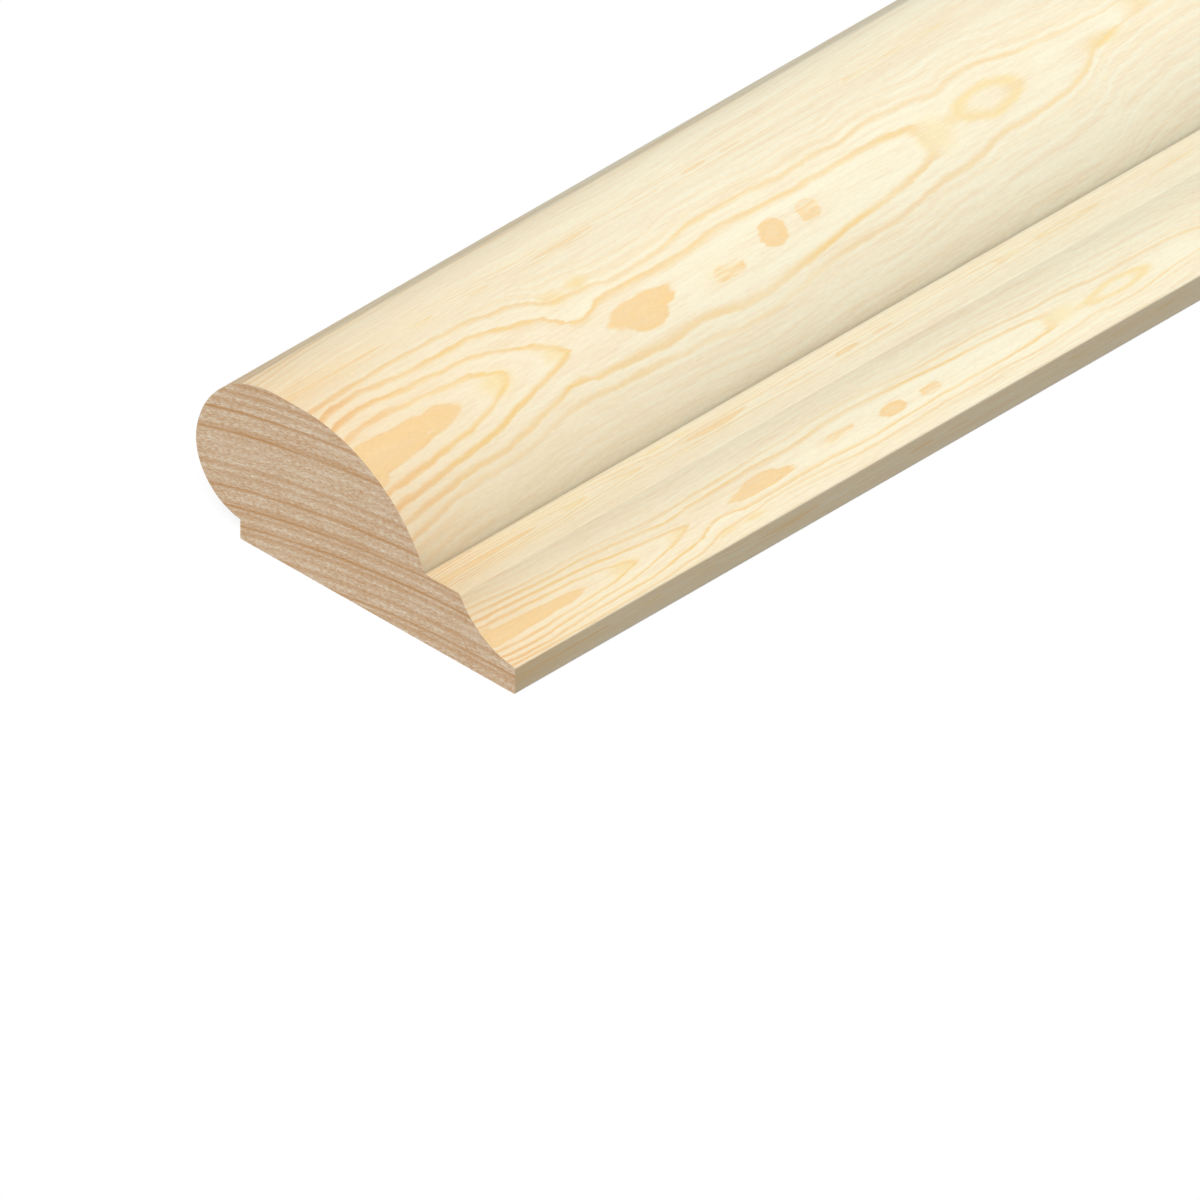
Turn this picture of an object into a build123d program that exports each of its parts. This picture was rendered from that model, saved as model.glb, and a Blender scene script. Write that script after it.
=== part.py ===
from build123d import *
import math
import os

# One length of picture rail, machined from a single piece of pine and lying on its back.
# X runs across the rail, from the hook lip (the upper edge on the wall) to the thin lower edge.
# Y runs along the length and Z out from the wall. The origin is the middle of the footprint.

# Overall size in millimetres
RAIL_LENGTH = 2400.0
RAIL_WIDTH = 45.0
RAIL_THICKNESS = 20.0

# Hook lip: the bead overhangs the back face, so that a picture hook can reach behind it
LIP_OVERHANG = 6.25
NOSE_RADIUS = 7.1
NOSE_LEVEL = 9.4

# Bead: shoulder arc up to a short flat crest, then a long brow arc down to the fillet
CREST_START = 11.2
CREST_WIDTH = 3.65
BROW_RADIUS = 18.9

# Fillet and cove below the bead, down to the thin lower edge
FILLET_LEVEL = 8.4
FILLET_WIDTH = 4.9
LOWER_EDGE_HEIGHT = 3.2
COVE_RADIUS = 9.75

# Edge rounding left by the cutters
FILLET_ARRIS_RADIUS = 0.8
ARRIS_RADIUS = 0.2


def nose_start():
    """Point where the rebate wall meets the nose arc under the lip."""
    rise = math.sqrt(NOSE_RADIUS**2 - (NOSE_RADIUS - LIP_OVERHANG) ** 2)
    return Vector(LIP_OVERHANG, NOSE_LEVEL - rise)


def shoulder_radius():
    """Radius that is tangent to the flat crest at its start and to the nose arc."""
    reach = CREST_START - NOSE_RADIUS
    rise = RAIL_THICKNESS - NOSE_LEVEL
    return (reach**2 + rise**2 - NOSE_RADIUS**2) / (2 * (rise - NOSE_RADIUS))


def shoulder_start():
    """Point where the nose arc runs into the shoulder arc, on the line through both centres."""
    nose_centre = Vector(NOSE_RADIUS, NOSE_LEVEL)
    shoulder_centre = Vector(CREST_START, RAIL_THICKNESS - shoulder_radius())
    outward = (nose_centre - shoulder_centre).normalized()
    return nose_centre + outward * NOSE_RADIUS


def brow_end():
    """Point where the brow arc lands on the fillet, in the inner corner."""
    drop = BROW_RADIUS - (RAIL_THICKNESS - FILLET_LEVEL)
    reach = math.sqrt(BROW_RADIUS**2 - drop**2)
    return Vector(CREST_START + CREST_WIDTH + reach, FILLET_LEVEL)


def section():
    """Moulded section as a face, with X across the rail from the lip and Y out from the wall."""
    wall_foot = Vector(LIP_OVERHANG, 0)
    nose_foot = nose_start()
    shoulder_foot = shoulder_start()
    crest_near = Vector(CREST_START, RAIL_THICKNESS)
    crest_far = Vector(CREST_START + CREST_WIDTH, RAIL_THICKNESS)
    fillet_inner = brow_end()
    fillet_outer = fillet_inner + Vector(FILLET_WIDTH, 0)
    edge_top = Vector(RAIL_WIDTH, LOWER_EDGE_HEIGHT)
    edge_foot = Vector(RAIL_WIDTH, 0)
    under_lip = nose_foot - Vector(NOSE_RADIUS, NOSE_LEVEL)
    along_nose = Vector(under_lip.Y, -under_lip.X)

    rebate_wall = Line(wall_foot, nose_foot)
    nose = TangentArc(nose_foot, shoulder_foot, tangent=along_nose)
    shoulder = TangentArc(crest_near, shoulder_foot, tangent=(-1, 0))
    crest = Line(crest_near, crest_far)
    brow = TangentArc(crest_far, fillet_inner, tangent=(1, 0))
    fillet_flat = Line(fillet_inner, fillet_outer)
    cove = RadiusArc(edge_top, fillet_outer, COVE_RADIUS)
    lower_edge = Line(edge_top, edge_foot)
    back = Line(edge_foot, wall_foot)
    face = make_face([rebate_wall, nose, shoulder, crest, brow, fillet_flat, cove, lower_edge, back])

    face = fillet(nearest_vertex(face, fillet_outer), FILLET_ARRIS_RADIUS)
    for corner in (edge_top, edge_foot, wall_foot):
        face = fillet(nearest_vertex(face, corner), ARRIS_RADIUS)
    return face


def nearest_vertex(face, point):
    """The section's corner at a known point."""
    return face.vertices().sort_by_distance(point)[0]


def picture_rail():
    """The section run out to both sides of the origin, across the middle of the footprint."""
    profile_plane = Plane(origin=(-RAIL_WIDTH / 2, 0, 0), x_dir=(1, 0, 0), z_dir=(0, -1, 0))
    return extrude(profile_plane * section(), RAIL_LENGTH / 2, both=True)


os.makedirs("parts", exist_ok=True)
export_step(picture_rail(), "parts/picture_rail.step")
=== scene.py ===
"""Picture rail: one length of moulded pine, lying on its back, with its studio stage."""

import math
from functools import partialmethod

import bmesh
import bpy
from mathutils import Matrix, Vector


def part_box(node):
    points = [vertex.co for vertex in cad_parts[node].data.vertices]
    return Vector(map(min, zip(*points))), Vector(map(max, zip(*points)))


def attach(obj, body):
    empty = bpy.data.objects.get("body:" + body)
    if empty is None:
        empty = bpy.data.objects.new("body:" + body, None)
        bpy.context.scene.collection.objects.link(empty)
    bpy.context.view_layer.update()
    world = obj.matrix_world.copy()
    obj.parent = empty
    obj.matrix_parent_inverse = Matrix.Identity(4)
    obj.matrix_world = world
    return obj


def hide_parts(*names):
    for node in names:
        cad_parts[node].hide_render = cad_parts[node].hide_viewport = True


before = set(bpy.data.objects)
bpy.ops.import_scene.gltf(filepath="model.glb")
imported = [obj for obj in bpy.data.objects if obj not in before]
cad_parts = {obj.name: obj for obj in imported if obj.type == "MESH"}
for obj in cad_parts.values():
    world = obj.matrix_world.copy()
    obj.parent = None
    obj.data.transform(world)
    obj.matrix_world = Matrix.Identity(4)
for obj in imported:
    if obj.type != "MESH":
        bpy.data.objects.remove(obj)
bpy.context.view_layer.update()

bl_info = {
    "name": "Picture rail",
    "version": (1, 0, 0),
    "blender": (4, 5, 0),
    "location": "3D Viewport > Sidebar > Picture rail",
    "description": "Moulds a length of pine picture rail and sets a plain stage for it",
    "category": "Object",
}

NODE = "picture_rail"
RAIL_LOW, RAIL_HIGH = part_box(NODE)
RAIL_SIZE = RAIL_HIGH - RAIL_LOW
MM = 0.001

# The piece's own maps: the figure on each strip, real distances, and a flat layout for baking
FIGURE_MAP = "figure"
SURFACE_MAP = "surface"
BAKE_MAP = "OFBake"
MAPS = (FIGURE_MAP, SURFACE_MAP, BAKE_MAP)
# What each place knows of itself: the painted shade of its recess, its distance from the inner corner, how
# clearly the figure shows there, and how strongly the wood is tinted
PLACE_VALUES = ("recess", "crease", "clarity", "tint")


def length_property(name, description, default):
    """A length that a user may change, in metres."""
    return bpy.props.FloatProperty(name=name, description=description, default=default, unit="LENGTH")


def angle_property(name, description, degrees):
    """An angle that a user may change."""
    return bpy.props.FloatProperty(
        name=name, description=description, default=math.radians(degrees), subtype="ANGLE"
    )


def colour_property(name, description, default):
    """A colour that a user may change, kept as linear values."""
    return bpy.props.FloatVectorProperty(
        name=name, description=description, default=(*default, 1.0), subtype="COLOR", size=4,
        min=0.0, max=1.0,
    )


class RailSize(bpy.types.PropertyGroup):
    """Sizes of the rail. All are the solid's but the fillet's arris, which is drawn crisper."""

    length: length_property("Length", "Length of the rail", RAIL_SIZE.y)
    width: length_property("Width", "From the hook lip to the lower edge", RAIL_SIZE.x)
    thickness: length_property("Thickness", "From the back to the crest", RAIL_SIZE.z)
    lip_overhang: length_property("Lip overhang", "Reach of the lip beyond the back", 6.25 * MM)
    nose_radius: length_property("Nose radius", "Radius under the lip", 7.1 * MM)
    nose_level: length_property("Nose level", "Height of the nose's centre", 9.4 * MM)
    crest_start: length_property("Crest start", "From the lip to the flat crest", 11.2 * MM)
    crest_width: length_property("Crest width", "Width of the flat crest", 3.65 * MM)
    brow_radius: length_property("Brow radius", "Radius of the bead's long front", 18.9 * MM)
    fillet_level: length_property("Fillet level", "Height of the flat fillet", 8.4 * MM)
    fillet_width: length_property("Fillet width", "Width of the flat fillet", 4.9 * MM)
    cove_radius: length_property("Cove radius", "Radius of the hollow", 9.75 * MM)
    lower_edge: length_property("Lower edge", "Height of the thin lower edge", 3.2 * MM)
    fillet_arris: length_property("Fillet arris", "Cut back along the fillet's outer edge", 0.25 * MM)
    arris: length_property("Arris", "Rounding of the sharp edges", 0.2 * MM)


class PineFinish(bpy.types.PropertyGroup):
    """Colours and strengths of the pine, on its planed faces and on its sawn ends."""

    early_wood: colour_property("Early wood", "Pale wood between the lines", (0.965, 0.910, 0.705))
    late_wood: colour_property("Late wood", "Lines of the growth rings", (0.925, 0.665, 0.285))
    heart: colour_property("Heart", "Filled eyes where a ring is cut flat", (0.945, 0.675, 0.33))
    glow: colour_property("Glow", "Soft patches over a ring just under the face", (0.95, 0.71, 0.24))
    streak: colour_property("Streaks", "Faint streaks along the grain", (0.88, 0.70, 0.46))
    # Painted shade in the recesses, the inner corner and the lip's turn; the same colour darkens the short
    # fibres
    shade_and_fuzz: colour_property("Dust", "Dust and burnish in the inner corner", (0.10, 0.08, 0.05))
    aged: colour_property("Aged", "Warmer tint that grows towards the sawn ends", (0.86, 0.59, 0.31))
    scorched: colour_property("Scorched", "Lines next to the saw cuts", (0.86, 0.47, 0.19))
    pore: colour_property("Resin ducts", "Short dark dashes along the grain", (0.62, 0.40, 0.20))
    end_early: colour_property("End early wood", "Pale rings on a sawn end", (0.93, 0.80, 0.618))
    end_late: colour_property("End late wood", "Dark rings on a sawn end", (0.61, 0.33, 0.14))
    roughness: bpy.props.FloatProperty(
        name="Roughness", description="Roughness of the planed faces", default=0.62, min=0.0, max=1.0
    )


class StageSettings(bpy.types.PropertyGroup):
    """Camera and lights of the plain studio stage."""

    azimuth: angle_property("Azimuth", "Turn of the view, 0 looks along the rail", 44.833)
    elevation: angle_property("Elevation", "Height of the view over the horizon", 34.803)
    frame_size: length_property("Frame size", "Width and height that the view shows", 0.120)
    aim_right: length_property("Aim right", "Frame centre, right of the near lip corner", 40.403 * MM)
    aim_up: length_property("Aim up", "Frame centre, above the near lip corner", -8.663 * MM)
    key_direction: bpy.props.FloatVectorProperty(
        name="Key direction", description="Where the key light comes from", default=(0.298, -0.555, 0.776),
        subtype="DIRECTION",
    )
    key_strength: bpy.props.FloatProperty(
        name="Key strength", description="Share of full light that the key gives", default=1.137
    )
    key_softness: angle_property("Key softness", "Width of the key light as seen from the rail", 24.0)
    fill_direction: bpy.props.FloatVectorProperty(
        name="Fill direction", description="Where the weak fill comes from", default=(-0.83, 0.54, 0.12),
        subtype="DIRECTION",
    )
    fill_strength: bpy.props.FloatProperty(
        name="Fill strength", description="Share of full light that the fill gives", default=0.07
    )
    ambient: bpy.props.FloatProperty(
        name="Ambient", description="Share of full light that the room gives", default=0.12
    )
    floor_size: length_property("Floor size", "Side of the square floor", 14.0)


# Steps along each curved strip of the section
COVE_STEPS = 14
BROW_STEPS = 32
SHOULDER_STEPS = 28
NOSE_STEPS = 24
FILLET_ARRIS_STEPS = 4
ARRIS_STEPS = 3
LENGTH_STEPS = 3
SHARP_ANGLE = math.radians(32)
# Distance at which two places count as the same
TOUCHING = 1e-9


def swept_arc(bm, corner, centre, angle, steps):
    """Sweeps an arc from the corner, counter-clockwise round a centre, and returns the new corner."""
    made = bmesh.ops.spin(bm, geom=[corner], cent=centre, axis=(0, -1, 0), angle=angle, steps=steps)
    return [piece for piece in made["geom_last"] if isinstance(piece, bmesh.types.BMVert)][0]


def straight_run(bm, corner, place):
    """Draws a straight edge from the corner to a place, and returns the new corner."""
    made = bmesh.ops.extrude_vert_indiv(bm, verts=[corner])
    made["verts"][0].co = place
    return made["verts"][0]


def angle_between(centre, start, end):
    """Turn from start to end round a centre, counter-clockwise with the lip on the left."""
    first = math.atan2(start.z - centre.z, start.x - centre.x)
    last = math.atan2(end.z - centre.z, end.x - centre.x)
    return (last - first) % math.tau


def section_points(size):
    """Named corners and centres of the section, at the near end."""

    def at(across, up):
        return Vector((RAIL_LOW.x + across, RAIL_LOW.y, up))

    nose_drop = math.sqrt(size.nose_radius**2 - (size.nose_radius - size.lip_overhang) ** 2)
    reach = size.crest_start - size.nose_radius
    rise = size.thickness - size.nose_level
    shoulder_radius = (reach**2 + rise**2 - size.nose_radius**2) / (2 * (rise - size.nose_radius))
    brow_drop = size.brow_radius - (size.thickness - size.fillet_level)
    brow_reach = math.sqrt(size.brow_radius**2 - brow_drop**2)
    crest_end = size.crest_start + size.crest_width
    fillet_end = crest_end + brow_reach + size.fillet_width

    points = {
        "edge_foot": at(size.width, 0),
        "edge_top": at(size.width, size.lower_edge),
        "fillet_outer": at(fillet_end, size.fillet_level),
        "fillet_inner": at(crest_end + brow_reach, size.fillet_level),
        "crest_far": at(crest_end, size.thickness),
        "crest_near": at(size.crest_start, size.thickness),
        "nose_foot": at(size.lip_overhang, size.nose_level - nose_drop),
        "wall_foot": at(size.lip_overhang, 0),
        "brow_centre": at(crest_end, size.thickness - size.brow_radius),
        "shoulder_centre": at(size.crest_start, size.thickness - shoulder_radius),
        "nose_centre": at(size.nose_radius, size.nose_level),
    }
    outward = (points["nose_centre"] - points["shoulder_centre"]).normalized()
    points["shoulder_foot"] = points["nose_centre"] + outward * size.nose_radius
    chord = points["fillet_outer"] - points["edge_top"]
    hollow_side = Vector((chord.z, 0, -chord.x)).normalized()
    depth = math.sqrt(size.cove_radius**2 - (chord.length / 2) ** 2)
    points["cove_centre"] = points["edge_top"] + chord / 2 + hollow_side * depth
    return points


def draw_section(bm, size, points):
    """Draws the closed outline, counter-clockwise from the lower edge's foot, and rounds its arrises."""
    first = bm.verts.new(points["edge_foot"])
    edge_top = straight_run(bm, first, points["edge_top"])
    cove_turn = angle_between(points["cove_centre"], points["fillet_outer"], points["edge_top"])
    fillet_outer = swept_arc(bm, edge_top, points["cove_centre"], -cove_turn, COVE_STEPS)
    fillet_inner = straight_run(bm, fillet_outer, points["fillet_inner"])
    brow_turn = angle_between(points["brow_centre"], points["fillet_inner"], points["crest_far"])
    crest_far = swept_arc(bm, fillet_inner, points["brow_centre"], brow_turn, BROW_STEPS)
    crest_near = straight_run(bm, crest_far, points["crest_near"])
    shoulder_turn = angle_between(points["shoulder_centre"], points["crest_near"], points["shoulder_foot"])
    shoulder_foot = swept_arc(bm, crest_near, points["shoulder_centre"], shoulder_turn, SHOULDER_STEPS)
    nose_turn = angle_between(points["nose_centre"], points["shoulder_foot"], points["nose_foot"])
    nose_foot = swept_arc(bm, shoulder_foot, points["nose_centre"], nose_turn, NOSE_STEPS)
    wall_foot = straight_run(bm, nose_foot, points["wall_foot"])
    bm.edges.new((wall_foot, first))

    bmesh.ops.bevel(
        bm, geom=[fillet_outer], offset=size.fillet_arris, segments=FILLET_ARRIS_STEPS, profile=0.5,
        affect="VERTICES", material=-1,
    )
    sharp = [nearest_corner(bm, points[name]) for name in ("edge_top", "edge_foot", "wall_foot")]
    bmesh.ops.bevel(
        bm, geom=sharp, offset=size.arris, segments=ARRIS_STEPS, profile=0.5, affect="VERTICES", material=-1
    )


def nearest_corner(bm, place):
    """The vertex that lies nearest to a place."""
    return min(bm.verts, key=lambda corner: (corner.co - place).length)


def measure_girth(bm, points):
    """Writes each vertex's distance round the outline, and returns that layer and the whole girth."""
    girth = bm.verts.layers.float.new("girth")
    start = nearest_corner(bm, points["edge_foot"])
    here, before, distance = start, None, 0.0
    while True:
        here[girth] = distance
        ways = [edge for edge in here.link_edges if edge.other_vert(here) is not before]
        if before is None:
            ways.sort(key=lambda edge: edge.other_vert(here).co.z)
        edge = ways[-1]
        distance += edge.calc_length()
        before, here = here, edge.other_vert(here)
        if here is start:
            return girth, distance


# Painted shade in a recess: its share at the strip's start, and how fast it thins out along the girth
NO_SHADE = (0.0, 1.0)
COVE_SHADE = (0.10, 0.1)
FILLET_SHADE = (0.27, 1.0)
BROW_FOOT_SHADE = (1.0, 0.0016)

# A plain strip of the section: its figure runs with the girth and starts at the near end, it has no painted
# shade, and its wood has no tint of its own
PLAIN_STRIP = {"flip": False, "shift": 0.0, "recess": NO_SHADE, "clarity": 1.0, "tint": 0.0}
# The strips in their order round the section: the corner where each ends, and what sets it apart
STRIPS = (
    ("edge_top", {"clarity": 0.8, "tint": 0.26}),
    ("fillet_outer", {"flip": True, "recess": COVE_SHADE}),
    ("fillet_inner", {"recess": FILLET_SHADE, "clarity": 0.8}),
    ("crest_far", {"recess": BROW_FOOT_SHADE}),
    ("crest_near", {"clarity": 0.65, "tint": 0.09}),
    ("shoulder_foot", {}),
    ("nose_foot", {"shift": 0.41}),
    ("wall_foot", {"shift": 0.67}),
    ("edge_foot", {"flip": True, "shift": 0.93}),
)


def strip_borders(bm, girth, total, points):
    """The strips, each with the girth at which it starts and ends."""
    ends = [nearest_corner(bm, points[name])[girth] for name, _ in STRIPS[:-1]] + [total]
    starts = [0.0] + ends[:-1]
    return [
        PLAIN_STRIP | own | {"start": start, "end": end}
        for (_, own), start, end in zip(STRIPS, starts, ends)
    ]


# Flat layout for baking: the rail's three parts side by side, with both sawn ends in a row below them
BAKE_GAP = 0.004
BAKE_ROW = 0.09
END_SPREAD = 3.9
NEAR_END_LEFT = 0.02
FAR_END_LEFT = 0.52


def map_side_face(face, girth, maps, values, strips, total, step):
    """Lays one face of the planed sides on the three maps, and writes its place values."""
    figure, surface, bake = maps
    inner_corner = next(strip["start"] for strip in strips if strip["recess"] is BROW_FOOT_SHADE)
    near = [loop.vert[girth] for loop in face.loops]
    wraps = max(near) - min(near) > total / 2
    around = [value + total if wraps and value < total / 2 else value for value in near]
    middle = sum(around) / len(around)
    strip = next(strip for strip in strips if middle <= strip["end"] + TOUCHING)
    share_of_shade, thinning = strip["recess"]
    piece = int((face.calc_center_median().y - RAIL_LOW.y) / step)
    for loop, distance in zip(face.loops, around):
        along = loop.vert.co.y - RAIL_LOW.y
        share = (distance - strip["start"]) / (strip["end"] - strip["start"])
        loop[figure].uv = (along + strip["shift"], 1 - share if strip["flip"] else share)
        loop[surface].uv = (along, distance)
        # Painted shade of the recess, strongest at the strip's start
        loop[values["recess"]] = share_of_shade * math.exp((strip["start"] - distance) / thinning)
        loop[values["crease"]] = distance - inner_corner
        loop[values["clarity"]] = strip["clarity"]
        loop[values["tint"]] = strip["tint"]
        column = BAKE_GAP + (1 - 2 * BAKE_GAP) * distance / total
        rise = BAKE_GAP + (1 - 2 * BAKE_GAP) * (along - piece * step) / step
        loop[bake].uv = ((piece + column) / LENGTH_STEPS, BAKE_ROW + rise * (1 - BAKE_ROW))


def map_end_face(face, maps, is_near):
    """Lays one sawn end on the three maps."""
    figure, surface, bake = maps
    for loop in face.loops:
        across = loop.vert.co.x - RAIL_LOW.x
        loop[figure].uv = (across, loop.vert.co.z)
        loop[surface].uv = (across, loop.vert.co.z)
        left = NEAR_END_LEFT if is_near else FAR_END_LEFT
        loop[bake].uv = (left + across * END_SPREAD, BAKE_GAP + loop.vert.co.z * END_SPREAD)


def run_out(bm, step):
    """Fills the outline and runs it out along the rail, a step at a time."""
    section = bmesh.ops.contextual_create(bm, geom=bm.edges[:])["faces"]
    for _ in range(LENGTH_STEPS):
        made = bmesh.ops.extrude_face_region(bm, geom=section)["geom"]
        corners = [piece for piece in made if isinstance(piece, bmesh.types.BMVert)]
        section = [piece for piece in made if isinstance(piece, bmesh.types.BMFace)]
        bmesh.ops.translate(bm, verts=corners, vec=(0, step, 0))
    bmesh.ops.recalc_face_normals(bm, faces=bm.faces[:])


def dress_faces(bm, girth, total, strips, step):
    """Maps each face, tells the sawn ends from the planed sides, and keeps the sharp edges sharp."""
    for name in MAPS:
        bm.loops.layers.uv.new(name)
    for name in PLACE_VALUES:
        bm.loops.layers.float.new(name)
    maps = [bm.loops.layers.uv[name] for name in MAPS]
    values = {name: bm.loops.layers.float[name] for name in PLACE_VALUES}
    for face in bm.faces:
        is_end = abs(face.normal.y) > 0.5
        face.smooth = not is_end
        face.material_index = 1 if is_end else 0
        if is_end:
            map_end_face(face, maps, face.normal.y < 0)
        else:
            map_side_face(face, girth, maps, values, strips, total, step)
    for edge in bm.edges:
        edge.smooth = edge.calc_face_angle(0.0) < SHARP_ANGLE


class RAIL_OT_mould_rail(bpy.types.Operator):
    """Mould one length of picture rail in pine"""

    bl_idname = "rail.mould_rail"
    bl_label = "Mould the rail"

    def execute(self, context):
        size = context.scene.rail_size
        points = section_points(size)
        bm = bmesh.new()
        draw_section(bm, size, points)
        girth, total = measure_girth(bm, points)
        strips = strip_borders(bm, girth, total, points)
        step = size.length / LENGTH_STEPS
        run_out(bm, step)
        dress_faces(bm, girth, total, strips, step)

        mesh = bpy.data.meshes.new("rail")
        bm.to_mesh(mesh)
        bm.free()
        rail = bpy.data.objects.new("moulded_rail", mesh)
        context.scene.collection.objects.link(rail)
        finish = context.scene.rail_finish
        mesh.materials.append(planed_pine(finish))
        mesh.materials.append(sawn_pine(finish))
        steady = rail.modifiers.new("Steady the flats", "WEIGHTED_NORMAL")
        steady.keep_sharp = True
        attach(rail, "root")
        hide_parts(NODE)
        return {"FINISHED"}


class Graph:
    """A short way to write a node tree: each call adds one node and hands back what it puts out."""

    def __init__(self, tree):
        self.tree = tree

    def feed(self, socket, value):
        """Links an output to the socket, or sets the socket to a plain value."""
        if isinstance(value, bpy.types.NodeSocket):
            self.tree.links.new(value, socket)
        else:
            socket.default_value = value

    def add(self, kind, inputs, **settings):
        """Adds a node with its settings, and feeds its inputs by name or number."""
        node = self.tree.nodes.new(kind)
        for name, value in settings.items():
            setattr(node, name, value)
        for key, value in inputs.items():
            self.feed(node.inputs[key], value)
        return node

    def math(self, operation, *values, clamp=False):
        """One Math node."""
        node = self.add("ShaderNodeMath", dict(enumerate(values)), operation=operation, use_clamp=clamp)
        return node.outputs["Value"]

    # The operations used most: times_plus gives a value times a factor, plus another value
    plus = partialmethod(math, "ADD")
    minus = partialmethod(math, "SUBTRACT")
    times = partialmethod(math, "MULTIPLY")
    over = partialmethod(math, "DIVIDE")
    times_plus = partialmethod(math, "MULTIPLY_ADD")
    larger = partialmethod(math, "MAXIMUM")

    def group(self, tree, inputs):
        """What a node group puts out when it is placed with these inputs."""
        return self.add("ShaderNodeGroup", inputs, node_tree=tree).outputs

    def scaled(self, vector, factors):
        """A vector with each part multiplied by its own factor."""
        node = self.add("ShaderNodeVectorMath", {0: vector, 1: factors}, operation="MULTIPLY")
        return node.outputs["Vector"]

    def ramp(self, value, low, high, to_low=0.0, to_high=1.0, smooth=True):
        """The value brought from one range to another, held at both ends."""
        kind = "SMOOTHSTEP" if smooth else "LINEAR"
        inputs = {"Value": value, "From Min": low, "From Max": high, "To Min": to_low, "To Max": to_high}
        return self.add("ShaderNodeMapRange", inputs, interpolation_type=kind).outputs["Result"]

    def noise(self, place, cell, detail=2.0, seed=0.0):
        """Noise from -1 to 1 whose cells have a length and a width, in the place's own units."""
        inputs = {
            "Vector": self.scaled(place, (1 / cell[0], 1 / cell[1], 1 / cell[-1])),
            "W": seed,
            "Scale": 1.0,
            "Detail": detail,
        }
        node = self.add("ShaderNodeTexNoise", inputs, noise_dimensions="4D")
        return self.times_plus(node.outputs["Fac"], 2.0, -1.0)

    def curve(self, value, points):
        """The value read through a smooth curve of given points, both from 0 to 1."""
        node = self.add("ShaderNodeFloatCurve", {"Value": value})
        line = node.mapping.curves[0]
        line.points[0].location = points[0]
        line.points[1].location = points[-1]
        for point in points[1:-1]:
            line.points.new(*point)
        node.mapping.update()
        return node.outputs["Value"]

    def mixed(self, data_type, kind, share, below, above):
        """Two values mixed by a share, through a Mix node, whose sockets are told apart by identifier."""
        node = self.add("ShaderNodeMix", {}, data_type=data_type)
        inputs = {"Factor_Float": share, "A_" + kind: below, "B_" + kind: above}
        for socket in node.inputs:
            if socket.identifier in inputs:
                self.feed(socket, inputs[socket.identifier])
        return next(socket for socket in node.outputs if socket.identifier == "Result_" + kind)

    mix_colour = partialmethod(mixed, "RGBA", "Color")
    mix_value = partialmethod(mixed, "FLOAT", "Float")


def new_group(name, inputs, outputs):
    """An empty shader node group with named sockets, as (tree, graph, inputs, outputs)."""
    tree = bpy.data.node_groups.new(name, "ShaderNodeTree")
    for socket, kind in inputs.items():
        tree.interface.new_socket(socket, in_out="INPUT", socket_type=kind)
    for socket, kind in outputs.items():
        tree.interface.new_socket(socket, in_out="OUTPUT", socket_type=kind)
    way_in = tree.nodes.new("NodeGroupInput").outputs
    way_out = tree.nodes.new("NodeGroupOutput").inputs
    return tree, Graph(tree), way_in, way_out


# Growth rings as the planed faces show them. Lengths and heights are in millimetres from the near end
# and from the eye row, the line along the strip where the cut touches a ring.
FIGURE_HEIGHT = 22.2
EYE_ROW = 0.563
RING_WIDTH = 1.35
EYE_BLUNTNESS = 3.7
DRAWN_LENGTH = 125.0
LINE_REACH = 10.0
RING_LOW = -1.0
RING_SPAN = 7.0

# Ring that shows along the middle of the loops, and the height of that middle
ROW_RINGS = (
    (0, -0.45), (9, -0.3), (13.6, 0.05), (20.5, 1.0), (28.6, 2.0), (31.5, 2.35), (60, 2.4), (76, 2.5),
    (80, 3.05), (83, 3.4), (100, 3.6), (112, 4.0), (125, 4.5),
)
ROW_LEVEL = (
    (0, 0.0), (10, 0.5), (20.5, 0.9), (28.6, 0.0), (39, -0.2), (50, -0.6), (57.8, 0.1), (70, 0.1), (80, 0.4),
    (89, 1.1), (97, 1.4), (104, 2.1), (112, 2.5), (125, 2.5),
)
# The third and the fourth line, above the middle and below it
INNER_ABOVE = (
    (0, 7.0), (5, 7.9), (9, 7.4), (14, 6.9), (20, 7.0), (22, 6.6), (25, 5.6), (28, 4.6), (30, 3.2),
    (32, 2.2), (36, 3.2), (40, 3.3), (46, 3.0), (52, 3.6), (59, 3.4), (67, 3.1), (75, 3.1), (78, 2.7),
    (81, 2.2), (90, 2.3), (125, 3.1),
)
OUTER_ABOVE = (
    (0, 8.8), (20, 8.9), (25, 8.2), (28, 7.6), (30, 6.6), (32, 5.4), (36, 5.2), (38.5, 4.5), (46, 4.7),
    (51, 5.6), (58, 5.6), (63, 5.1), (68, 5.4), (71, 5.1), (76, 5.7), (81, 5.2), (84.8, 4.6), (87.5, 5.3),
    (91, 5.3), (94, 4.6), (97, 4.0), (101, 3.5), (107, 3.2), (125, 3.6),
)
INNER_BELOW = (
    (0, -7.1), (5, -6.4), (10, -5.9), (15, -5.7), (18, -5.2), (21, -4.7), (24, -4.0), (27, -3.6), (30, -4.0),
    (39, -4.5), (44, -4.2), (50, -5.1), (57.4, -4.6), (62, -4.0), (67, -3.2), (73.4, -2.6), (77, -2.0),
    (80, -1.4), (84, -0.9), (90, 0.2), (125, 1.8),
)
OUTER_BELOW = (
    (0, -8.8), (4, -8.0), (9, -7.2), (14, -7.0), (19, -6.6), (22, -6.0), (25, -5.5), (33, -5.8), (38, -6.0),
    (45, -6.4), (50, -6.9), (56.6, -6.3), (60.6, -5.6), (63, -5.3), (72, -5.1), (78, -4.2), (85, -3.6),
    (87, -3.1), (92, -2.9), (96.4, -2.6), (100, -1.8), (103.6, 0.0), (106, 0.6), (112, 1.5), (125, 1.4),
)
# Inputs of the eye group: a place, then the eye's own place and size
EYE_SOCKETS = ("Along", "Height", "Middle", "Level", "Half length", "Half height")
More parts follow.
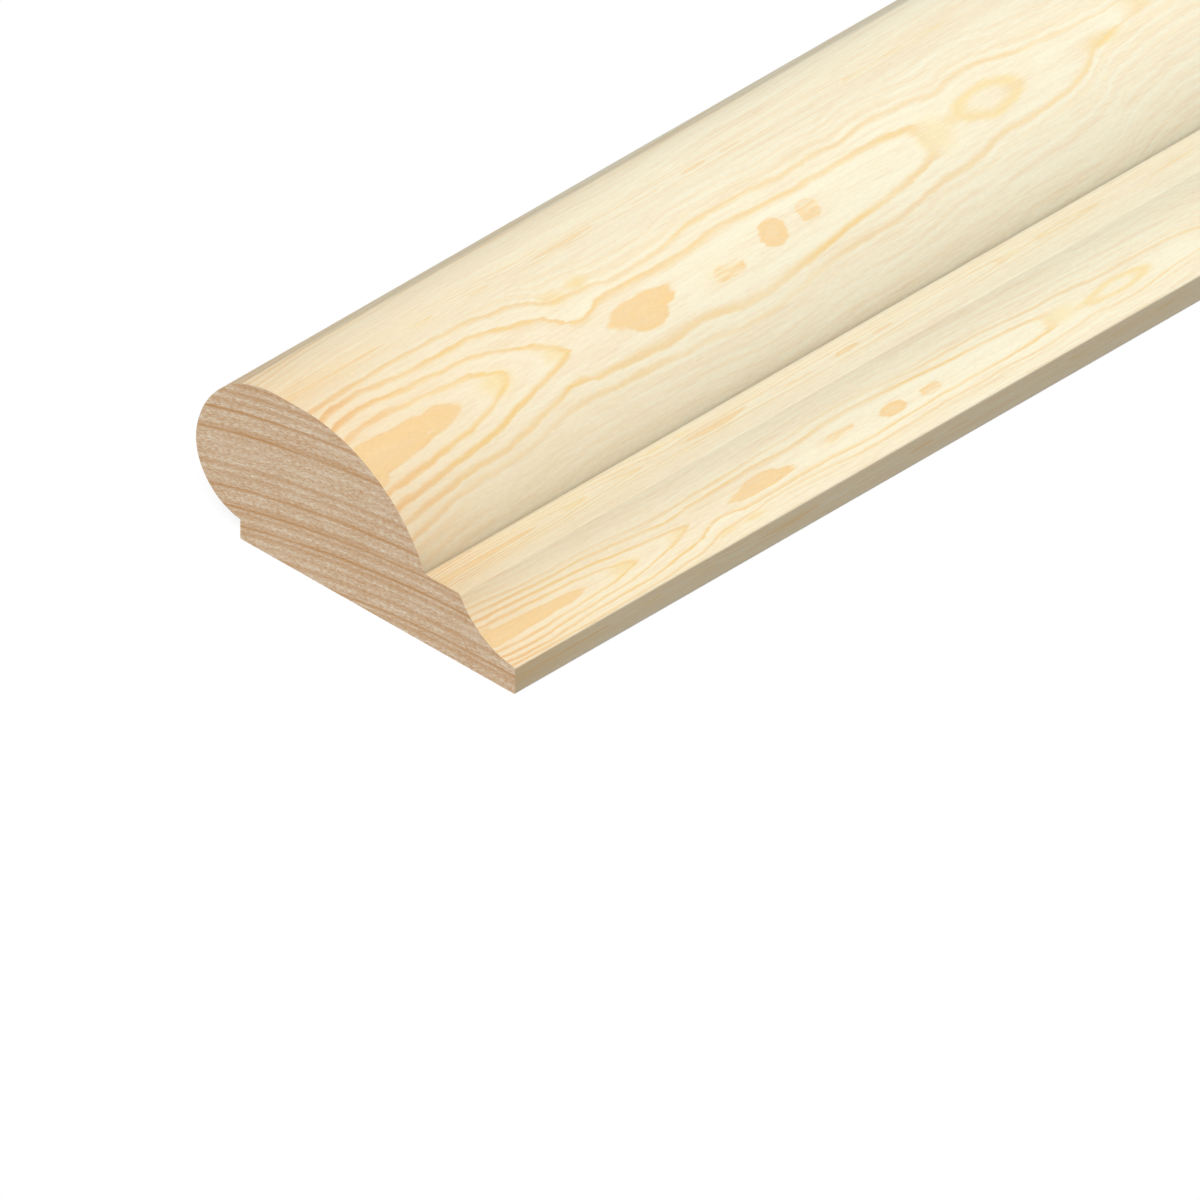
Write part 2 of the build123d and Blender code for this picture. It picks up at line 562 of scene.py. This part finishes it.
# Eyes, where a ring is only just cut: place along, height, half length, half height, fill
EYES = (
    (0.0, 0.3, 9.5, 2.0, 1.0),
    (0.2, -1.3, 1.7, 1.5, 1.0),
    (5.0, 0.8, 9.2, 1.25, 1.0),
    (10.5, 0.8, 3.2, 1.3, 1.0),
    (39.1, 0.2, 4.7, 1.45, 1.0),
    (39.2, -0.8, 2.7, 1.75, 1.0),
    (50.4, -1.1, 2.3, 0.95, 0.50),
    (57.8, 0.1, 2.0, 1.5, 0.9),
    (62.9, 0.35, 1.4, 1.25, 0.62),
)
# Patches of late wood that fade out on all sides, listed the same way
PATCHES = (
    (19.0, 0.8, 3.0, 2.1, 0.50),
    (27.0, 0.5, 2.0, 1.6, 0.38),
    (31.6, 5.9, 2.3, 1.4, 0.45),
    (35.4, 6.2, 1.7, 1.2, 0.50),
    (49.3, -1.0, 3.2, 1.4, 0.20),
    (84.0, 1.0, 2.8, 1.1, 0.45),
    (104.6, 0.5, 3.6, 1.0, 0.60),
)
# The patch where the third line closes, and the eye that is only a ring, pale inside
LOOP_END = (81.0, 0.5, 3.2, 3.0)
RING_EYE = (89.0, 1.1, 5.0, 2.1)
# How strongly the rim of the pale eye and the loops' end show
RIM_GLOW = 0.62
LOOP_END_GLOW = 0.38
# Late wood starts this far inside a line and ends this far past it
LINE_RISE = -0.90
LINE_FALL = 0.40
# Rings further apart than this are cut so flat that their lines widen
WIDEST_GAP = 4.6
# Ring numbers of the two lines drawn on each side of the row
INNER_RING = 3.0
OUTER_RING = 4.0
# How blunt the loops between them are, and what their slant gains from the row to the inner line
LOOP_BLUNTNESS = 0.2
LOOP_GAIN = 0.82
# Strength of the even rings outside the loops
EVEN_RING = 0.24
# Least distances, which keep ring numbers finite where two lines nearly meet
LEAST_INNER = 0.3
LEAST_GAP = 0.6
# How far a line wanders along the rail and up it: ragged at a fine size, wavering at a larger one
RAGGED_ALONG = 0.9
RAGGED_UP = 0.10
WAVER_ALONG = 1.0
WAVER_UP = 0.40
RIPPLE_UP = 0.38
# Where the drawn figure starts and ends to give way to the grown one
DRAWN_FADES = 108.0
GROWN_ALONE = 150.0
# Ring on the grown figure's row, and how many rings slow, quick and broad noise move it
GROWN_ROW = 4.4
SLOW_RINGS = 6.0
QUICK_RINGS = 0.9
BROAD_RINGS = 0.7


def ring_line_group():
    """Weight of late wood about each whole ring number: a slow rise, a line, and an abrupt end."""
    tree, g, way_in, way_out = new_group(
        "Ring line",
        {"Ring": "NodeSocketFloat", "Spacing": "NodeSocketFloat"},
        {"Line": "NodeSocketFloat", "Tone": "NodeSocketFloat"},
    )
    shifted = g.plus(way_in["Ring"], 0.5)
    place = g.times(g.minus(g.math("FRACT", shifted), 0.5), way_in["Spacing"])
    rise = g.math("POWER", g.ramp(place, LINE_RISE, -0.05), 1.5)
    g.feed(way_out["Line"], g.times(rise, g.ramp(place, 0.0, LINE_FALL, 1.0, 0.0)))
    number = g.math("FLOOR", shifted)
    shade = g.add("ShaderNodeTexWhiteNoise", {"W": number}, noise_dimensions="1D")
    g.feed(way_out["Tone"], shade.outputs["Value"])
    return tree


def eye_group():
    """Distance from the middle of an eye, 1 on its edge."""
    tree, g, way_in, way_out = new_group(
        "Eye", {name: "NodeSocketFloat" for name in EYE_SOCKETS}, {"Distance": "NodeSocketFloat"}
    )
    across = g.over(g.minus(way_in["Along"], way_in["Middle"]), way_in["Half length"])
    up = g.over(g.minus(way_in["Height"], way_in["Level"]), way_in["Half height"])
    squared = g.times_plus(across, across, g.times(up, up))
    g.feed(way_out["Distance"], g.math("SQRT", squared))
    return tree


def drawn_curve(g, share, points, low=-LINE_REACH, span=2 * LINE_REACH):
    """A given run of values along the drawn length."""
    places = [(along / DRAWN_LENGTH, (value - low) / span) for along, value in points]
    return g.times_plus(g.curve(share, places), span, low)


def drawn_rings(g, along, height):
    """Ring number and spacing over the drawn length: loops within two lines, even rings beyond them."""
    share = g.over(along, DRAWN_LENGTH, clamp=True)
    level = drawn_curve(g, share, ROW_LEVEL)
    row = drawn_curve(g, share, ROW_RINGS, RING_LOW, RING_SPAN)
    above = g.math("GREATER_THAN", height, level)
    inner_line = g.mix_value(above, drawn_curve(g, share, INNER_BELOW), drawn_curve(g, share, INNER_ABOVE))
    outer_line = g.mix_value(above, drawn_curve(g, share, OUTER_BELOW), drawn_curve(g, share, OUTER_ABOVE))
    reach = g.math("ABSOLUTE", g.minus(height, level))
    inner = g.larger(g.math("ABSOLUTE", g.minus(inner_line, level)), LEAST_INNER)
    outer = g.larger(g.math("ABSOLUTE", g.minus(outer_line, level)), LEAST_GAP)

    # Within the third line: blunt loops, from the ring on the row to the third
    rings_left = g.larger(g.minus(INNER_RING, row), 0.05)
    part = g.over(reach, inner)
    slant = g.math("SQRT", g.times_plus(part, part, LOOP_BLUNTNESS**2))
    rings_per_slant = g.over(rings_left, LOOP_GAIN)
    loops = g.times_plus(g.minus(slant, LOOP_BLUNTNESS), rings_per_slant, row)
    steepness = g.over(slant, g.larger(part, 0.12))
    loop_gap = g.times(g.over(inner, rings_per_slant), steepness)

    # Between the third line and the fourth, and beyond the fourth
    gap = g.larger(g.minus(outer, inner), LEAST_GAP)
    between = g.plus(INNER_RING, g.over(g.minus(reach, inner), gap))
    beyond = g.plus(OUTER_RING, g.over(g.minus(reach, outer), RING_WIDTH))
    past_inner = g.math("GREATER_THAN", reach, inner)
    past_outer = g.math("GREATER_THAN", reach, outer)
    outside = g.mix_value(past_outer, between, beyond)
    outside_gap = g.mix_value(past_outer, gap, RING_WIDTH)

    # Once the row itself is past the third line, the loops have closed
    closed = g.math("GREATER_THAN", row, INNER_RING)
    on_row = g.math("GREATER_THAN", row, outside)
    open_ring = g.mix_value(past_inner, loops, outside)
    open_gap = g.mix_value(past_inner, g.math("MINIMUM", loop_gap, WIDEST_GAP), outside_gap)
    ring = g.mix_value(closed, open_ring, g.larger(outside, row))
    spacing = g.mix_value(closed, open_gap, g.mix_value(on_row, outside_gap, WIDEST_GAP))
    return ring, spacing


def grown_rings(g, place, height):
    """Ring number and spacing past the drawn length: the same kind of loops, led by slow noise."""
    squared = g.times_plus(height, height, (EYE_BLUNTNESS * RING_WIDTH) ** 2)
    slant = g.math("SQRT", squared)
    bowl = g.minus(g.over(slant, RING_WIDTH), EYE_BLUNTNESS)
    length_only = g.scaled(place, (1.0, 0.0, 1.0))
    slow = g.times(g.noise(length_only, (0.25, 0.25), 1.0, 3.1), SLOW_RINGS)
    quick = g.times_plus(g.noise(length_only, (0.05, 0.05), 1.0, 5.7), QUICK_RINGS, slow)
    broad = g.times_plus(g.noise(place, (0.06, 0.010), 1.0, 7.3), BROAD_RINGS, quick)
    ring = g.plus(g.plus(bowl, broad), GROWN_ROW)
    reach = g.larger(g.math("ABSOLUTE", height), LEAST_GAP)
    spacing = g.times(g.over(slant, reach), RING_WIDTH)
    return ring, spacing


def line_weight(g, place, plain_along, height, ring, far, tone):
    """How strongly a line shows: weak beyond the fourth line, uneven along it, stronger near the cut."""
    drawn = g.times(g.ramp(ring, 4.3, 5.0, 1.0, EVEN_RING), g.ramp(height, -7.5, -3.5, 0.55, 1.0))
    grown = g.ramp(g.math("ABSOLUTE", height), 4.0, 9.0, 1.0, EVEN_RING)
    shade = g.ramp(tone, 0.0, 1.0, 0.85, 1.15, smooth=False)
    patchy = g.ramp(g.noise(place, (0.010, 0.0016), 2.0, 6.6), -0.6, 0.4, 0.55, 1.15)
    shelf = g.mix_value(g.ramp(plain_along, 32.0, 40.0), 1.0, g.ramp(height, 5.5, 9.0, 0.76, 0.5))
    calmer = g.times(g.ramp(plain_along, 70.0, 92.0, 1.0, 0.9), shelf)
    fading = g.times(calmer, g.ramp(plain_along, 0.0, 14.0, 1.3, 1.0))
    varied = g.times(shade, g.times(patchy, fading))
    return g.times(g.mix_value(far, drawn, grown), varied)


def soft_patches(g, eye, along, height, loop_end):
    """Glow of late wood just under the face: the pale eye's rim, the loops' end and the patches."""
    ring_eye = eye_distance(g, eye, along, height, RING_EYE)
    rim = g.times(g.ramp(ring_eye, 0.30, 0.82), g.ramp(ring_eye, 0.82, 1.16, 1.0, 0.0))
    soft = g.larger(g.times(rim, RIM_GLOW), g.ramp(loop_end, 0.2, 1.1, LOOP_END_GLOW, 0.0))
    for patch in PATCHES:
        distance = eye_distance(g, eye, along, height, patch[:4])
        soft = g.larger(soft, g.ramp(distance, 0.15, 1.15, patch[4], 0.0))
    return soft


def filled_eyes(g, eye, place, along, height, ragged, far):
    """Solid eyes: the drawn ones, and past the drawn length ones strewn along the row."""
    filled = 0.0
    lumps = g.noise(place, (0.0035, 0.0011), 1.0, 5.1)
    for eye_shape in EYES:
        distance = eye_distance(g, eye, along, height, eye_shape[:4])
        uneven = g.times_plus(lumps, 0.22, distance)
        solid = g.ramp(g.plus(ragged, eye_shape[4] * 1.3), 0.35, 0.95)
        edge = g.times(g.ramp(uneven, 0.0, 0.85, 0.78, 1.0), g.ramp(uneven, 0.85, 1.08, 1.0, 0.0))
        filled = g.larger(filled, g.times(edge, solid))
    chance = g.noise(place, (0.012, 0.0035), 1.0, 8.2)
    hump = g.times_plus(g.times(height, height), -0.10, chance)
    strays = g.times(g.ramp(hump, 0.30, 0.36), far)
    return g.larger(filled, strays)


def flat_sawn_group(ring_line, eye):
    """Figure of a flat-sawn face: long loops and eyes about a row, with faint lanes that follow them."""
    tree, g, way_in, way_out = new_group(
        "Flat-sawn figure",
        {"Place": "NodeSocketVector"},
        {name: "NodeSocketFloat" for name in ("Line", "Glow", "Eye", "Lanes")},
    )
    place = g.scaled(way_in["Place"], (1.0, FIGURE_HEIGHT * MM, 1.0))
    parts = g.add("ShaderNodeSeparateXYZ", {"Vector": way_in["Place"]}).outputs
    plain_along = g.times(parts["X"], 1 / MM)
    plain_height = g.times(g.minus(parts["Y"], EYE_ROW), FIGURE_HEIGHT)
    ragged = g.noise(place, (0.0040, 0.00045), 3.0, 2.6)
    waver = g.noise(place, (0.008, 0.0035), 3.0, 1.9)
    wavering_along = g.times_plus(waver, WAVER_ALONG, plain_along)
    along = g.times_plus(ragged, RAGGED_ALONG, wavering_along)
    ripple = g.noise(place, (0.0020, 0.0016), 3.0, 5.3)
    ragged_height = g.times_plus(ragged, RAGGED_UP, plain_height)
    rippling_height = g.times_plus(ripple, RIPPLE_UP, ragged_height)
    height = g.times_plus(waver, WAVER_UP, rippling_height)

    far = g.ramp(plain_along, DRAWN_FADES, GROWN_ALONE)
    drawn, drawn_spacing = drawn_rings(g, along, height)
    grown, grown_spacing = grown_rings(g, place, height)
    ring = g.mix_value(far, drawn, grown)
    spacing = g.mix_value(far, drawn_spacing, grown_spacing)
    band = g.group(ring_line, {"Ring": ring, "Spacing": spacing})
    weight = line_weight(g, place, plain_along, height, ring, far, band["Tone"])
    loop_end = eye_distance(g, eye, along, height, LOOP_END)
    bare = g.ramp(loop_end, 0.35, 1.0, 0.2, 1.0)
    line = g.times(g.times(band["Line"], weight), bare)
    g.feed(way_out["Line"], line)
    g.feed(way_out["Glow"], soft_patches(g, eye, along, height, loop_end))
    g.feed(way_out["Eye"], filled_eyes(g, eye, place, along, height, ragged, far))

    lane_place = g.add("ShaderNodeCombineXYZ", {"X": along, "Y": ring}).outputs["Vector"]
    g.feed(way_out["Lanes"], g.noise(lane_place, (26.0, 0.42, 1.0), 3.0, 4.9))
    return tree


def eye_distance(g, eye, along, height, shape):
    """Places one eye group, and returns the distance that it puts out."""
    return g.group(eye, dict(zip(EYE_SOCKETS, (along, height) + shape)))["Distance"]


def fibre_group():
    """Fine structure along the grain at real size: streaks, ducts, short fibres and a planed height."""
    tree, g, way_in, way_out = new_group(
        "Wood fibre",
        {"Place": "NodeSocketVector"},
        {name: "NodeSocketFloat" for name in ("Streak", "Ducts", "Fuzz", "Height")},
    )
    place = way_in["Place"]
    thin = g.noise(place, (0.0035, 0.00022), 3.0, 0.4)
    wide = g.noise(place, (0.030, 0.0012), 2.0, 4.4)
    streak = g.times_plus(wide, 0.5, g.times(thin, 0.9))
    dash = g.noise(place, (0.0025, 0.00012), 0.0, 8.8)
    sparse = g.noise(place, (0.02, 0.004), 1.0, 9.9)
    ducts = g.ramp(g.times_plus(sparse, 0.25, dash), 0.62, 0.78)
    g.feed(way_out["Streak"], streak)
    g.feed(way_out["Ducts"], ducts)
    g.feed(way_out["Fuzz"], g.ramp(g.noise(place, (0.0007, 0.00026), 3.0, 12.1), -0.38, 0.38, smooth=False))
    g.feed(way_out["Height"], g.times_plus(ducts, -0.8, thin))
    return tree


def new_material(name):
    """An empty material with its graph and its Principled BSDF."""
    material = bpy.data.materials.new(name)
    material.use_nodes = True
    material.node_tree.nodes.clear()
    g = Graph(material.node_tree)
    output = g.add("ShaderNodeOutputMaterial", {})
    surface = g.add("ShaderNodeBsdfPrincipled", {})
    g.feed(output.inputs["Surface"], surface.outputs["BSDF"])
    return material, g, surface


def bumped(g, height, strength, depth):
    """A normal from a height from -1 to 1 and a depth in metres."""
    inputs = {"Height": height, "Strength": strength, "Distance": depth}
    return g.add("ShaderNodeBump", inputs).outputs["Normal"]


# The thin line of painted shade in the inner corner: how far it reaches and how strong it is
CREASE_WIDTH = 0.0005
CREASE_SHADE = 0.11
# How dark the painted shade is at the start of a recess
RECESS_SHADE = 0.42
# How scorched the lines are at a saw cut, and how far that reaches
SCORCHED_MOST = 0.75
SCORCHED_REACH = 0.012
# How strongly the wood is tinted at a sawn end, and over what length that fades
AGED_MOST = 0.44
AGED_REACH = 0.024
# How much the streaks and lanes colour the wood, and how dark the resin ducts are
STREAKED_MOST = 0.85
DUCTS_MOST = 0.35
# How much the short fibres that stand up shade the planed faces
FUZZ_DUST = 0.055
# Painted shade on the turn of the lip, as distances round the section: where it starts, is strongest and
# ends
LIP_SHADE_START = 0.0480
LIP_SHADE_MOST = 0.0491
LIP_SHADE_END = 0.0560
LIP_SHADE = 0.26
# How deep the cutters leave the planed faces uneven, and how deep the saw leaves the ends
PLANED_DEPTH = 0.02 * MM
SAWN_DEPTH = 0.06 * MM


def painted_shade_and_fuzz(g, fuzz, recess, crease, around):
    """Share of the dark colour: painted shade in the recesses, the inner corner and the turn of the lip, and
    short fibres.
    """
    # Painted shade: a thin dark line along the inner corner
    corner_shade_line = g.ramp(g.math("ABSOLUTE", crease), 0.0, CREASE_WIDTH, CREASE_SHADE, 0.0)
    # Painted shade on the turn of the lip, where it faces away from the light
    rise = g.ramp(around, LIP_SHADE_START, LIP_SHADE_MOST, 0.0, LIP_SHADE)
    lip_shade = g.times(rise, g.ramp(around, LIP_SHADE_MOST, LIP_SHADE_END, 1.0, 0.2))
    fine = g.times_plus(fuzz, FUZZ_DUST, g.plus(corner_shade_line, lip_shade))
    return g.times_plus(recess, RECESS_SHADE, fine, clamp=True)


def planed_pine(finish):
    """Pine as the moulding cutters leave it, with its figure on each strip."""
    material, g, surface = new_material("planed_pine")
    figure_place = g.add("ShaderNodeUVMap", {}, uv_map=FIGURE_MAP).outputs["UV"]
    surface_place = g.add("ShaderNodeUVMap", {}, uv_map=SURFACE_MAP).outputs["UV"]
    figure = g.group(bpy.data.node_groups["Flat-sawn figure"], {"Place": figure_place})
    fibre = g.group(bpy.data.node_groups["Wood fibre"], {"Place": surface_place})

    recess, crease, clarity, tint = (
        g.add("ShaderNodeAttribute", {}, attribute_name=name).outputs["Fac"] for name in PLACE_VALUES
    )
    line, glow, eye = (g.times(figure[name], clarity) for name in ("Line", "Glow", "Eye"))

    parts = g.add("ShaderNodeSeparateXYZ", {"Vector": surface_place}).outputs
    along, around = parts["X"], parts["Y"]
    from_end = g.math("MINIMUM", along, g.minus(RAIL_SIZE.y, along))
    burnt = g.times(line, g.ramp(from_end, 0.0, SCORCHED_REACH, SCORCHED_MOST, 0.0))
    lined = g.mix_colour(line, finish.early_wood, finish.late_wood)
    lined = g.mix_colour(burnt, lined, finish.scorched)
    glowing = g.mix_colour(glow, lined, finish.glow)
    wood = g.mix_colour(eye, glowing, finish.heart)
    lanes = g.times_plus(figure["Lanes"], 1.1, fibre["Streak"])
    streaked = g.mix_colour(g.ramp(lanes, -0.55, 1.15, 0.0, STREAKED_MOST), wood, finish.streak)
    dried = g.times(g.math("EXPONENT", g.times(from_end, -1 / AGED_REACH)), AGED_MOST)
    aged = g.mix_colour(g.larger(dried, tint), streaked, finish.aged)
    dashed = g.mix_colour(g.times(fibre["Ducts"], DUCTS_MOST), aged, finish.pore)
    # Painted shade in the recesses, the inner corner and the lip's turn, with the darker short fibres
    shade_and_fuzz = painted_shade_and_fuzz(g, fibre["Fuzz"], recess, crease, around)
    g.feed(surface.inputs["Base Color"], g.mix_colour(shade_and_fuzz, dashed, finish.shade_and_fuzz))
    rough = g.times_plus(line, -0.10, finish.roughness)
    g.feed(surface.inputs["Roughness"], g.times_plus(fibre["Streak"], 0.06, rough))
    g.feed(surface.inputs["Normal"], bumped(g, fibre["Height"], 0.25, PLANED_DEPTH))
    surface.inputs["Specular IOR Level"].default_value = 0.25
    return material


# Growth rings as the sawn ends show them: where their pith lies, and the radii of the dark ones
PITH_ACROSS = 0.0215
PITH_UP = -0.140
END_RING_WIDTH = 0.00108
DARK_RINGS = (0.1422, 0.1465, 0.1486, 0.1508, 0.1573, 0.1598)
# A dark ring starts this far inside its radius and ends this far past it
DARK_RING_RISE = 0.00048
DARK_RING_FALL = 0.00022
# The fainter rings between them vary from the one strength to the other
FAINTEST_RING = 0.22
FAINT_RING = 0.60
# How far the rings wander from true arcs, and how dark the speckle of cut fibres is
END_WANDER = 0.00022
MOTTLED_MOST = 0.75


def sawn_pine(finish):
    """End grain: arcs about a far pith, with the speckle of cut fibres."""
    material, g, surface = new_material("sawn_pine")
    place = g.add("ShaderNodeTexCoord", {}).outputs["Object"]
    pith = g.add("ShaderNodeMapping", {"Vector": place, "Location": (-PITH_ACROSS, 0.0, -PITH_UP)})
    parts = g.add("ShaderNodeSeparateXYZ", {"Vector": pith.outputs["Vector"]}).outputs
    flat = g.add("ShaderNodeCombineXYZ", {"X": parts["X"], "Y": parts["Z"]}).outputs["Vector"]
    radius = g.add("ShaderNodeVectorMath", {0: flat}, operation="LENGTH").outputs["Value"]
    round_it = g.times(g.math("ARCTAN2", parts["X"], parts["Z"]), DARK_RINGS[0])
    polar = g.add("ShaderNodeCombineXYZ", {"X": round_it, "Y": radius}).outputs["Vector"]
    wander = g.noise(polar, (0.012, 0.012), 2.0, 1.2)
    uneven_radius = g.times_plus(wander, END_WANDER, radius)
    ring = g.over(uneven_radius, END_RING_WIDTH)
    band = g.group(bpy.data.node_groups["Ring line"], {"Ring": ring, "Spacing": END_RING_WIDTH / MM})
    faint = g.times(band["Line"], g.ramp(band["Tone"], 0.0, 1.0, FAINTEST_RING, FAINT_RING))
    dark_line = 0.0
    for ring_radius in DARK_RINGS:
        off = g.minus(uneven_radius, ring_radius)
        rise = g.ramp(off, -DARK_RING_RISE, 0.0)
        one_ring = g.times(rise, g.ramp(off, 0.0, DARK_RING_FALL, 1.0, 0.0))
        dark_line = g.larger(dark_line, one_ring)
    fading = g.ramp(g.noise(polar, (0.010, 0.002), 2.0, 7.7), -0.5, 0.4, 0.6, 1.0)
    line = g.larger(faint, g.times(dark_line, fading))
    wood = g.mix_colour(line, finish.end_early, finish.end_late)
    speckle = g.noise(polar, (0.00055, 0.00019), 3.0, 6.1)
    patches = g.noise(polar, (0.004, 0.0015), 2.0, 3.3)
    shade = g.times_plus(patches, 0.3, speckle)
    mottle = g.ramp(shade, -0.36, 0.34, 0.0, MOTTLED_MOST, smooth=False)
    g.feed(surface.inputs["Base Color"], g.mix_colour(mottle, wood, finish.end_late))
    g.feed(surface.inputs["Roughness"], g.times_plus(speckle, 0.05, 0.85))
    g.feed(surface.inputs["Normal"], bumped(g, speckle, 0.5, SAWN_DEPTH))
    surface.inputs["Specular IOR Level"].default_value = 0.1
    return material


class RAIL_OT_make_figure(bpy.types.Operator):
    """Build the node groups that the pine's faces and ends share"""

    bl_idname = "rail.make_figure"
    bl_label = "Make the wood figure"

    def execute(self, context):
        flat_sawn_group(ring_line_group(), eye_group())
        fibre_group()
        return {"FINISHED"}


def seen_plainly(g):
    """1 for what the camera, a reflection or a clear body sees, and 0 for light that bounces."""
    rays = g.add("ShaderNodeLightPath", {}).outputs
    seen = g.plus(rays["Is Camera Ray"], rays["Is Glossy Ray"])
    return g.plus(seen, rays["Is Transmission Ray"], clamp=True)


# Floor: the light it sends back to the rail, how much of its white is its own, and its drop below the rail
FLOOR_BOUNCE = 0.12
FLOOR_GLOW = 0.86
FLOOR_DROP = 0.05 * MM
# How far back from the rail the parallel view stands
VIEW_DISTANCE = 2.0


def lay_floor(context, stage):
    """A wide floor, white to the eye and dim to the rail, that keeps the rail's shadow."""
    bm = bmesh.new()
    bmesh.ops.create_grid(bm, x_segments=1, y_segments=1, size=stage.floor_size / 2)
    bmesh.ops.translate(bm, verts=bm.verts[:], vec=(0, 0, -FLOOR_DROP))
    mesh = bpy.data.meshes.new("floor")
    bm.to_mesh(mesh)
    bm.free()
    floor = bpy.data.objects.new("floor", mesh)
    context.scene.collection.objects.link(floor)

    material = bpy.data.materials.new("floor_white")
    material.use_nodes = True
    material.node_tree.nodes.clear()
    g = Graph(material.node_tree)
    matt = g.add("ShaderNodeBsdfDiffuse", {"Color": (1.0, 1.0, 1.0, 1.0)})
    glow = g.add("ShaderNodeEmission", {"Color": (1.0, 1.0, 1.0, 1.0), "Strength": 1.0})
    dim = g.add("ShaderNodeBsdfDiffuse", {"Color": (FLOOR_BOUNCE, FLOOR_BOUNCE, FLOOR_BOUNCE, 1.0)})
    white = g.add("ShaderNodeMixShader", {0: FLOOR_GLOW, 1: matt.outputs[0], 2: glow.outputs[0]})
    both = g.add("ShaderNodeMixShader", {0: seen_plainly(g), 1: dim.outputs[0], 2: white.outputs[0]})
    g.add("ShaderNodeOutputMaterial", {"Surface": both.outputs[0]})
    mesh.materials.append(material)


def add_sun(context, name, direction, strength, softness):
    """A distant light whose strength is its share of full light."""
    light = bpy.data.lights.new(name, "SUN")
    light.energy = strength * math.pi
    light.angle = softness
    lamp = bpy.data.objects.new(name, light)
    lamp.rotation_mode = "QUATERNION"
    lamp.rotation_quaternion = Vector(direction).to_track_quat("Z", "Y")
    context.scene.collection.objects.link(lamp)


def light_room(context, stage):
    """A soft key light, a weak fill behind the lip and a plain white room."""
    add_sun(context, "key", stage.key_direction, stage.key_strength, stage.key_softness)
    add_sun(context, "fill", stage.fill_direction, stage.fill_strength, stage.key_softness)

    world = bpy.data.worlds.new("room")
    world.use_nodes = True
    world.node_tree.nodes.clear()
    g = Graph(world.node_tree)
    strength = g.ramp(seen_plainly(g), 0.0, 1.0, stage.ambient, 1.0, smooth=False)
    room = g.add("ShaderNodeBackground", {"Color": (1.0, 1.0, 1.0, 1.0), "Strength": strength})
    g.add("ShaderNodeOutputWorld", {"Surface": room.outputs[0]})
    context.scene.world = world


def place_camera(context, stage):
    """A parallel view of the rail's near end."""
    azimuth, elevation = stage.azimuth, stage.elevation
    right = Vector((math.cos(azimuth), math.sin(azimuth), 0.0))
    back = Vector((
        math.sin(azimuth) * math.cos(elevation),
        -math.cos(azimuth) * math.cos(elevation),
        math.sin(elevation),
    ))
    up = back.cross(right)
    near_corner = Vector((RAIL_LOW.x, RAIL_LOW.y, 0.0))
    aim = near_corner + right * stage.aim_right + up * stage.aim_up
    data = bpy.data.cameras.new("view")
    data.type = "ORTHO"
    data.ortho_scale = stage.frame_size
    data.clip_end = 50.0
    camera = bpy.data.objects.new("view", data)
    camera.location = aim + back * VIEW_DISTANCE
    camera.rotation_mode = "QUATERNION"
    camera.rotation_quaternion = back.to_track_quat("Z", "Y")
    context.scene.collection.objects.link(camera)
    context.scene.camera = camera


class RAIL_OT_set_stage(bpy.types.Operator):
    """Lay the floor, light the room and place the camera"""

    bl_idname = "rail.set_stage"
    bl_label = "Set the stage"

    def execute(self, context):
        stage = context.scene.rail_stage
        lay_floor(context, stage)
        light_room(context, stage)
        place_camera(context, stage)
        context.scene.view_settings.view_transform = "Standard"
        return {"FINISHED"}


STEPS = (RAIL_OT_make_figure, RAIL_OT_mould_rail, RAIL_OT_set_stage)


class RAIL_PT_panel(bpy.types.Panel):
    """Steps and settings of the picture rail"""

    bl_idname = "RAIL_PT_panel"
    bl_label = "Picture rail"
    bl_space_type = "VIEW_3D"
    bl_region_type = "UI"
    bl_category = "Picture rail"

    def draw(self, context):
        layout = self.layout
        for step in STEPS:
            layout.operator(step.bl_idname)
        for settings in (context.scene.rail_size, context.scene.rail_finish, context.scene.rail_stage):
            box = layout.box()
            for name in settings.__annotations__:
                box.prop(settings, name)


CLASSES = (RailSize, PineFinish, StageSettings) + STEPS + (RAIL_PT_panel,)


def register():
    """Registers the classes and hangs their settings on the scene."""
    for kind in CLASSES:
        bpy.utils.register_class(kind)
    bpy.types.Scene.rail_size = bpy.props.PointerProperty(type=RailSize)
    bpy.types.Scene.rail_finish = bpy.props.PointerProperty(type=PineFinish)
    bpy.types.Scene.rail_stage = bpy.props.PointerProperty(type=StageSettings)


def unregister():
    """Takes the settings and the classes away again."""
    del bpy.types.Scene.rail_stage
    del bpy.types.Scene.rail_finish
    del bpy.types.Scene.rail_size
    for kind in reversed(CLASSES):
        bpy.utils.unregister_class(kind)


def main():
    """Builds the rail and its stage."""
    register()
    bpy.ops.rail.make_figure()
    bpy.ops.rail.mould_rail()
    bpy.ops.rail.set_stage()


if __name__ == "__main__":
    main()
